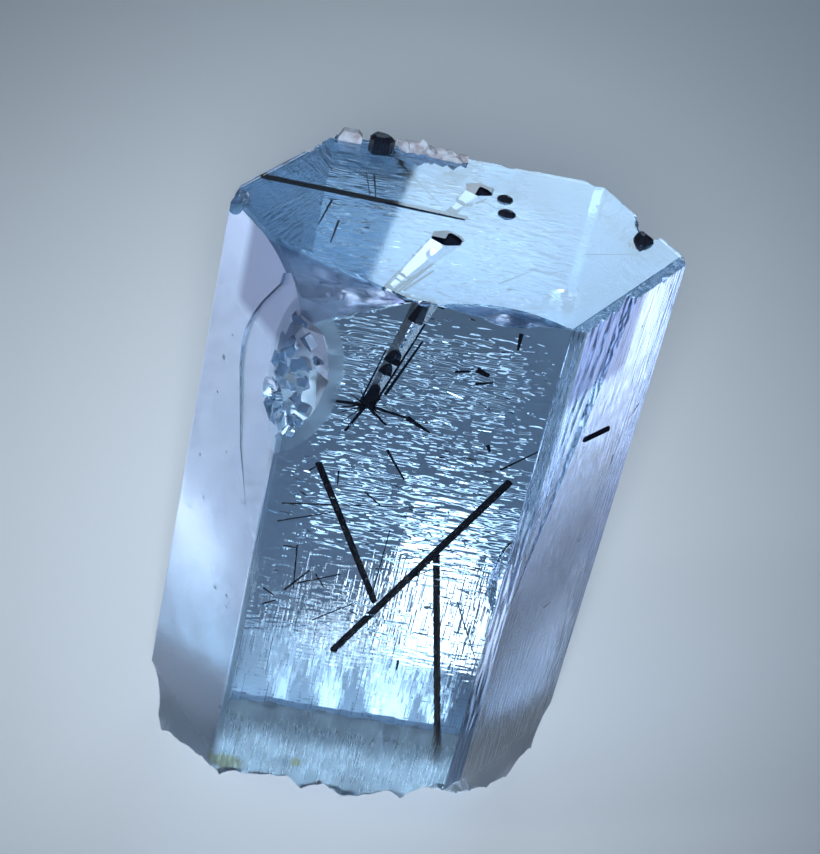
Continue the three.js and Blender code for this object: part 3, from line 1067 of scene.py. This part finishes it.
ENCLOSED = schorl("schorl_enclosed", 0)
OPEN_BLACK = schorl("schorl_open", 0.5)
# The albite finish carries painted shade: its greys are darker than the pale mineral.
SHADED_ALBITE = albite()
AT_THE_RIM = ("schorl_back_crystal", "schorl_right_crystal", "schorl_grain_back", "schorl_grain_front")


def finish_of(name):
    if name.startswith("albite"):
        return SHADED_ALBITE
    return OPEN_BLACK if name in AT_THE_RIM else ENCLOSED


for name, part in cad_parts.items():
    if name.startswith("crystal"):
        continue
    part.data.materials.clear()
    part.data.materials.append(finish_of(name))
print("dressed", len(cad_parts) - 2, "packed pieces")

# %% [markdown]
# ## Broken rods
#
# Two rods stand in the channels. They are cracked across, so that only stretches of each are left, and
# a spray of needles bursts from the foot of the longer one. Each stretch is a six-sided stub with
# bevelled ends.

# %% Build the rods and the spray
# Each stretch: where it starts and ends along its rod, and its radius.
LONG_ROD = ((-3.6, -2.57, 27.8), (-0.9, -1.47, 37))
SHORT_ROD = ((-0.5, 4.55, 32.2), (1.0, 5.25, 37))
LONG_STRETCHES = ((0.0, 0.14, 0.42), (0.23, 0.29, 0.48), (0.31, 0.39, 0.55), (0.6, 0.77, 0.62))
SLIVERS = (
    ((0.35, -0.3, 0), 0.0, 0.62, 0.09),
    ((0.62, -0.25, 0), 0.1, 0.5, 0.11),
    ((-0.45, -0.2, 0), 0.02, 0.4, 0.07),
)
SHORT_STRETCHES = ((0.05, 0.3, 0.38), (0.5, 0.66, 0.62))
SLIVER_SPLAY, SLIVER_TAPER = 1.5, 0.6
LONG_HEAD = ((-1.1, -1.5, 34.9), (-0.35, -1.15, 36.97), 0.62)
SHORT_HEAD = ((0.9, 5.1, 35.2), (1.45, 5.4, 36.97), 0.55)
HEAD_TAPER, HEAD_SIDES = 0.95, 5
BEND = (-1.2, -2.62, 27.44)
BENT_TIP = (0.27, -2.67, 26.74)
BENT_RADIUS, BENT_TAPER = 0.19, 0.35
SPRAY = (
    (BEND, 0.12),
    ((-5.66, -2.75, 27.75), 0.13),
    ((-4.5, -3.25, 26.1), 0.12),
    ((-2.2, -1.45, 26.3), 0.1),
    ((-3.0, -4.15, 28.9), 0.1),
)
SPRAY_TAPER = 0.7
SPRAY_SEED = 3
SPRAY_HAIRS = 26
SPRAY_SPREAD = ((0, 1), (0, 0.5), (-0.1, 0.5))
SPRAY_LENGTHS = (0.7, 2.0)
SPRAY_RADII = (0.03, 0.08)
SPRAY_HAIR_TAPER, SPRAY_HAIR_SIDES = 0.3, 5
STUB_BEVEL = 0.2
NEEDLE_SMOOTH_ANGLE = 30


def stub(start, end, radius, tip=0.85, sides=6):
    middle, turn, length = between(start, end)
    deselect()
    bpy.ops.mesh.primitive_cone_add(
        vertices=sides, radius1=radius, radius2=radius * tip, depth=length, location=middle, rotation=turn
    )
    made = added("stub")
    edit_all(made)
    bpy.ops.mesh.bevel(offset=radius * STUB_BEVEL, segments=2, affect="EDGES")
    leave_edit()
    return made


def stretches_of(rod, stretches):
    foot, head = (Vector(end) for end in rod)
    return [stub(foot.lerp(head, low), foot.lerp(head, high), radius) for low, high, radius in stretches]


def slivers_along(rod):
    foot, head = (Vector(end) for end in rod)
    made = []
    for aside, low, high, radius in SLIVERS:
        start, end = foot.lerp(head, low), foot.lerp(head, high)
        made.append(stub(start + Vector(aside), end + Vector(aside) * SLIVER_SPLAY, radius, SLIVER_TAPER))
    return made


def spray_at(foot):
    draw = random.Random(SPRAY_SEED)
    made = [stub(foot, tip, radius, SPRAY_TAPER) for tip, radius in SPRAY]
    made.append(stub(BEND, BENT_TIP, BENT_RADIUS, BENT_TAPER))
    for _ in range(SPRAY_HAIRS):
        way = Vector([draw.gauss(*spread) for spread in SPRAY_SPREAD]).normalized()
        tip = Vector(foot) + way * draw.uniform(*SPRAY_LENGTHS)
        made.append(stub(foot, tip, draw.uniform(*SPRAY_RADII), SPRAY_HAIR_TAPER, SPRAY_HAIR_SIDES))
    return made


def ride_as(piece, finish, slot, *nodes):
    piece.data.materials.clear()
    piece.data.materials.append(finish)
    to_metres(piece)
    close_up(piece, NEEDLE_SMOOTH_ANGLE)
    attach(piece, "root")
    if nodes:
        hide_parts(*nodes)
    print(piece.name, len(piece.data.polygons), "faces")


long_head = stub(*LONG_HEAD, HEAD_TAPER, HEAD_SIDES)
short_head = stub(*SHORT_HEAD, HEAD_TAPER, HEAD_SIDES)
long_rod = stretches_of(LONG_ROD, LONG_STRETCHES) + slivers_along(LONG_ROD)
long_rod = joined(long_rod + spray_at(LONG_ROD[0]) + [long_head], "schorl_broken_rod")
apply_place(long_rod)
ride_as(long_rod, ENCLOSED, "schorl", "schorl_rod_with_spray")
short_rod = stretches_of(SHORT_ROD, SHORT_STRETCHES) + [short_head]
short_rod = joined(short_rod, "schorl_broken_stub")
apply_place(short_rod)
ride_as(short_rod, ENCLOSED, "schorl", "schorl_rod_short")

# %% [markdown]
# ## Albite
#
# A row of pale albite grains grew on the back rim, the tallest beside the black crystal. Albite splits
# along flat planes, so each grain is a block cut by a few slanted planes, with its edges slightly
# rounded. Their finish is painted in dark greys: the grains' own grey translucence, darkened further
# as painted shade.

# %% Build the albite grains
GRAIN_SEED = 8
GRAIN_COUNT = 11
GRAIN_CUTS = 7
GRAIN_TURN = 0.5
CUT_SPREAD = ((0, 1), (0, 1), (0.2, 0.8))
CUT_DEPTHS = (0.32, 0.55)
GRAIN_BEVEL = 0.03
GRAIN_INSET = 0.35
GRAIN_SUNK = 0.5
GRAIN_LOWERING = 0.75
GRAIN_WIDTHS, GRAIN_THICKNESSES, GRAIN_STRETCH = (0.6, 1.0), (0.6, 0.9), (1.0, 1.35)
GRAIN_LOW, GRAIN_HIGH = (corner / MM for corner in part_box("albite_grains"))


def albite_grain(draw, place, size):
    deselect()
    turn = [draw.uniform(-GRAIN_TURN, GRAIN_TURN) for _ in range(3)]
    bpy.ops.mesh.primitive_cube_add(size=1, location=place, rotation=turn)
    grain = added("albite_grain")
    grain.scale = size
    apply_place(grain)
    bpy.ops.object.mode_set(mode="EDIT")
    for _ in range(GRAIN_CUTS):
        way = Vector([draw.gauss(*spread) for spread in CUT_SPREAD]).normalized()
        bpy.ops.mesh.select_all(action="SELECT")
        bpy.ops.mesh.bisect(
            plane_co=Vector(place) + way * min(size) * draw.uniform(*CUT_DEPTHS),
            plane_no=way,
            use_fill=True,
            clear_outer=True,
        )
    bpy.ops.mesh.select_all(action="SELECT")
    bpy.ops.mesh.bevel(offset=GRAIN_BEVEL, segments=2, affect="EDGES")
    leave_edit()
    return grain


def albite_row():
    draw = random.Random(GRAIN_SEED)
    made = []
    for i in range(GRAIN_COUNT):
        share = i / (GRAIN_COUNT - 1)
        tall = (GRAIN_HIGH.z - HEIGHT) * (1 - GRAIN_LOWERING * share) + GRAIN_SUNK
        across = GRAIN_LOW.x + GRAIN_INSET + share * (GRAIN_HIGH.x - GRAIN_LOW.x - 2 * GRAIN_INSET)
        inward = draw.uniform(GRAIN_LOW.y + GRAIN_INSET, GRAIN_HIGH.y - GRAIN_INSET)
        width, thickness = draw.uniform(*GRAIN_WIDTHS), draw.uniform(*GRAIN_THICKNESSES)
        size = (width, thickness, tall * draw.uniform(*GRAIN_STRETCH))
        made.append(albite_grain(draw, (across, inward, HEIGHT - GRAIN_SUNK + tall / 2), size))
    return made


grains = joined(albite_row(), "albite_crystals")
apply_place(grains)
ride_as(grains, SHADED_ALBITE, "albite", "albite_grains")

# %% [markdown]
# ## Hair-thin needles
#
# Around the thick needles lie many that are as thin as hairs. They are too fine to be solids of their
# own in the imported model, so they are one mesh of slender five-sided cones.

# %% Lay the hair-thin needles
HAIR_SIDES, HAIR_TAPER = 5, 0.6
# Each hair: its two ends and its radius.
HAIRS = (
    ((4.61, -3.47, 25.4), (6.54, -3.47, 27.12), 0.07),
    ((-7.15, -3.07, 20.46), (2.17, 1.03, 20.4), 0.05),
    ((-7.23, -3.47, 19.32), (-3.79, -3.47, 20.75), 0.055),
    ((4.17, -3.47, 15.73), (6.45, -3.47, 11.11), 0.05),
    ((-5.89, -5.47, 18.68), (-5.59, -5.47, 15.59), 0.06),
    ((-6.09, -5.47, 15.33), (-4.85, -5.47, 17.07), 0.08),
    ((-5.43, -5.47, 15.99), (-3.03, -5.47, 17.16), 0.06),
    ((-4.10, -5.47, 13.49), (-1.91, -5.47, 15.24), 0.05),
    ((-2.06, -5.47, 26.16), (-0.74, -5.47, 24.37), 0.09),
    ((-2.74, -5.47, 23.11), (-1.60, -5.47, 22.30), 0.06),
    ((-0.98, -5.47, 16.03), (-0.85, -5.47, 20.82), 0.05),
    ((-3.7, 7.64, 36.0), (-1.18, 3.08, 36.0), 0.06),
    ((-7.44, 1.2, 36.1), (-8.04, -1.72, 35.8), 0.07),
    ((-6.95, -1.05, 36.1), (-7.29, -3.54, 35.7), 0.07),
    ((-8.12, 6.05, 36.2), (-7.6, 4.95, 36.0), 0.05),
    ((-5.14, 5.31, 36.2), (-4.94, 2.2, 36.0), 0.06),
    ((-5.6, 5.4, 36.2), (-5.3, 2.8, 35.8), 0.045),
    ((2.02, -5.16, 36.3), (4.65, -2.15, 36.3), 0.05),
    ((7.0, -0.2, 36.7), (10.2, 1.0, 36.7), 0.04),
    ((5.2, -2.9, 36.6), (5.9, -2.4, 36.6), 0.05),
    ((0.6, 4.8, 36.7), (2.0, 3.5, 36.7), 0.06),
    ((12.55, 0.1, 27.75), (12.0, -0.75, 27.03), 0.08),
    ((11.6, -1.3, 24.8), (11.7, -1.2, 24.0), 0.08),
    ((6.75, -8.8, 21.9), (6.8, -8.75, 21.2), 0.08),
    ((9.5, -4.6, 15.3), (10.0, -3.85, 15.25), 0.07),
    ((-4.47, 1.38, 37.0), (0.14, 1.11, 37.0), 0.09),
    ((0.34, -8.6, 33.0), (1.2, -8.6, 33.2), 0.09),
    ((1.5, -8.4, 33.3), (2.2, -8.6, 33.1), 0.2),
    ((1.6, -8.4, 32.4), (2.5, -8.5, 32.7), 0.09),
    ((3.1, -8.5, 28.7), (3.3, -8.5, 28.3), 0.13),
    ((3.3, -8.6, 36.0), (3.35, -8.6, 35.0), 0.13),
    ((1.2, -8.6, 12.9), (1.25, -8.6, 12.2), 0.09),
    ((-7.4, -8.2, 16.4), (-6.7, -8.2, 16.0), 0.06),
    ((-7.3, -8.2, 15.2), (-6.5, -8.2, 15.7), 0.06),
    ((-4.6, -8.3, 18.0), (-4.0, -8.3, 17.2), 0.06),
    ((-6.2, -8.3, 25.0), (-5.6, -8.3, 25.6), 0.05),
    ((-4.6, -8.3, 25.3), (-4.5, -8.3, 24.4), 0.06),
    ((0.1, -8.4, 18.4), (2.6, -7.6, 20.0), 0.05),
)


def hair(start, end, radius):
    middle, turn, length = between(start, end)
    deselect()
    bpy.ops.mesh.primitive_cone_add(
        vertices=HAIR_SIDES,
        radius1=radius,
        radius2=radius * HAIR_TAPER,
        depth=length,
        location=middle,
        rotation=turn,
    )
    return added("hair")


hairs = joined([hair(*values) for values in HAIRS], "schorl_hair_needles")
apply_place(hairs)
ride_as(hairs, ENCLOSED, "schorl")

# %% [markdown]
# ## Floor and light
#
# The floor is plain and pale. A soft box behind the crystal is mirrored by its flat top, up to the
# edge of the box, and a soft key lights the floor, most in front. Panels that lie on the floor at both
# sides give the upright faces something pale to show. Smaller ones behind the crystal are seen through
# its front, where the ripples of the back break them up into a shimmer. No panel is seen by the camera
# itself.

# %% Build the studio
FLOOR_SIZE = 6
FLOOR_DROP = 0.02 * MM
SKY = (0.55, 0.78, 1.0)
WINDOW = (0.53, 0.63, 0.95)
LAMP = (0.78, 0.89, 1.0)
FLOOR_COLOUR, FLOOR_ROUGHNESS = (0.78, 0.79, 0.8, 1), 0.75
ROOM = (0.03, 0.037, 0.05, 1)
KEY_SPREAD = math.radians(32)
OUT_OF_GLASS = ("key", "spark")
OVERHEAD = 50


def upward(x, y, z, size, colour, brightness):
    return (x, y, z), (x, y, OVERHEAD), size, 0, colour, brightness


# Each light: place, aim, size, roll, colour and brightness.
LIGHTS = {
    "back_box": ((62, 252, 157), (62, 0, 157), (86, 84), -9.1, SKY, 5.1),
    "back_high": ((30, 252, 222), (30, 0, 222), (70, 36), 0, SKY, 1.1),
    "back_dim": ((-56, 252, 157), (-56, 0, 157), (150, 84), -9.1, SKY, 0.15),
    "left_panel": upward(-62, 14, 0.5, (78, 120), WINDOW, 2.3),
    "left_dim": upward(-18.5, 4, 0.5, (9, 40), WINDOW, 0.8),
    "right_panel": upward(78, 28, 0.5, (76, 120), WINDOW, 0.85),
    "key": ((-20, -165, 116), (2, 60, 0), (34, 34), 0, LAMP, 8.5),
    "under": upward(0, 0, -0.01, (25, 18), SKY, 0.3),
    "patch_right": upward(6.2, 22, 0.3, (5.6, 12), LAMP, 3.4),
    "patch_left": upward(-0.9, 17.5, 0.3, (3.6, 6), LAMP, 0.8),
    "patch_low": upward(-0.6, 13.4, 0.3, (14, 8), SKY, 0.38),
    "spark": ((-150, -60, 110), (0, 0, 30), (14, 14), 0, LAMP, 50.0),
}
# Distance, width and brightness of the strips across the view.
STRIPS = ((33, 4, 1.7), (53, 4, 1.1))
for distance, width, brightness in STRIPS:
    LIGHTS[f"strip_{distance}"] = upward(5, distance, 0.3, (17, width), SKY, brightness)
# Place, width and brightness of the streaks along the view.
LOW_STREAKS = (
    (-4.3, 0.9, 0.9),
    (-1.2, 1.2, 1.6),
    (1.9, 0.7, 2.2),
    (3.3, 1.6, 1.6),
    (5.9, 0.9, 2.0),
)
for x, width, brightness in LOW_STREAKS:
    LIGHTS[f"low_streak_{x}"] = upward(x, 13.4, 0.35, (width, 8), SKY, brightness)


def pale_floor():
    deselect()
    bpy.ops.mesh.primitive_plane_add(size=FLOOR_SIZE, location=(0, 0, -FLOOR_DROP))
    floor = added("floor")
    apply_place(floor)
    material, tree = new_material("pale_floor")
    shader = node(tree, "ShaderNodeBsdfPrincipled")
    shader.inputs["Base Color"].default_value = FLOOR_COLOUR
    shader.inputs["Roughness"].default_value = FLOOR_ROUGHNESS
    out = node(tree, "ShaderNodeOutputMaterial")
    tree.links.new(shader.outputs["BSDF"], out.inputs["Surface"])
    floor.data.materials.append(material)
    return floor


def soft_light(name, place, aim, size, roll, colour, brightness):
    data = bpy.data.lights.new(name, "AREA")
    data.shape = "RECTANGLE"
    data.size, data.size_y = (s * MM for s in size)
    data.energy = brightness * math.pi * data.size * data.size_y
    data.color = colour
    light = bpy.data.objects.new(name, data)
    bpy.context.scene.collection.objects.link(light)
    light.location = Vector(place) * MM
    towards = Vector(aim) - Vector(place)
    light.rotation_mode = "QUATERNION"
    turned = Matrix.Rotation(math.radians(roll), 4, "Z").to_quaternion()
    light.rotation_quaternion = towards.to_track_quat("-Z", "Y") @ turned
    light.visible_camera = False
    light.visible_transmission = name not in OUT_OF_GLASS
    if name == "key":
        data.spread = KEY_SPREAD
        light.visible_glossy = False
    return light


floor = pale_floor()
for name, values in LIGHTS.items():
    soft_light(name, *values)
world = bpy.data.worlds.new("dim_room")
world.use_nodes = True
world.node_tree.nodes["Background"].inputs["Color"].default_value = ROOM
bpy.context.scene.world = world
bpy.context.scene.view_settings.view_transform = "Standard"
print("lights:", sorted(LIGHTS))
